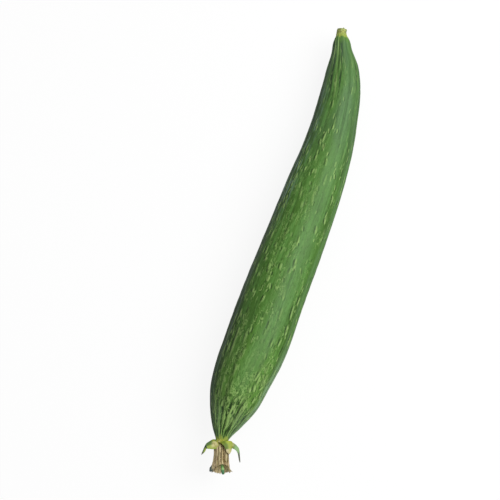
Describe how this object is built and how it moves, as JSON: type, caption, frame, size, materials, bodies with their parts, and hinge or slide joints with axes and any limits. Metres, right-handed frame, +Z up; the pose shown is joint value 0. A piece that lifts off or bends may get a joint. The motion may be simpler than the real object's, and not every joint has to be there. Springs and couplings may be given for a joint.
{
  "type": "sponge gourd",
  "caption": "Long, slightly bowed smooth sponge gourd, picked and lying on its side, with its cut stalk and the withered flower still on its end.",
  "frame": {"origin": "bottom centre of the whole gourd's box, on the surface it lies on", "axes": "+X along the fruit from the cut stalk to the withered flower, +Y level, towards the side it bows to, +Z up from the surface"},
  "size_m": [0.366, 0.0554, 0.0475],
  "materials": {
    "skin": "waxy green rind with pale flecks along its length",
    "stalk": "fibrous yellow-green stalk",
    "calyx": "limp yellow-green sepals with drying tips",
    "dried_petal": "brown, papery and creased",
    "stigma": "dull green, half dried"
  },
  "bodies": {
    "root": {"fruit": "skin", "cut_stalk": "stalk", "calyx_collar": "calyx", "sepal_1": "calyx", "sepal_2": "calyx", "sepal_3": "calyx", "sepal_4": "calyx", "sepal_5": "calyx", "petal_1": "dried_petal", "petal_2": "dried_petal", "petal_3": "dried_petal", "petal_4": "dried_petal", "petal_5": "dried_petal", "style": "stigma"}
  },
  "joints": []
}
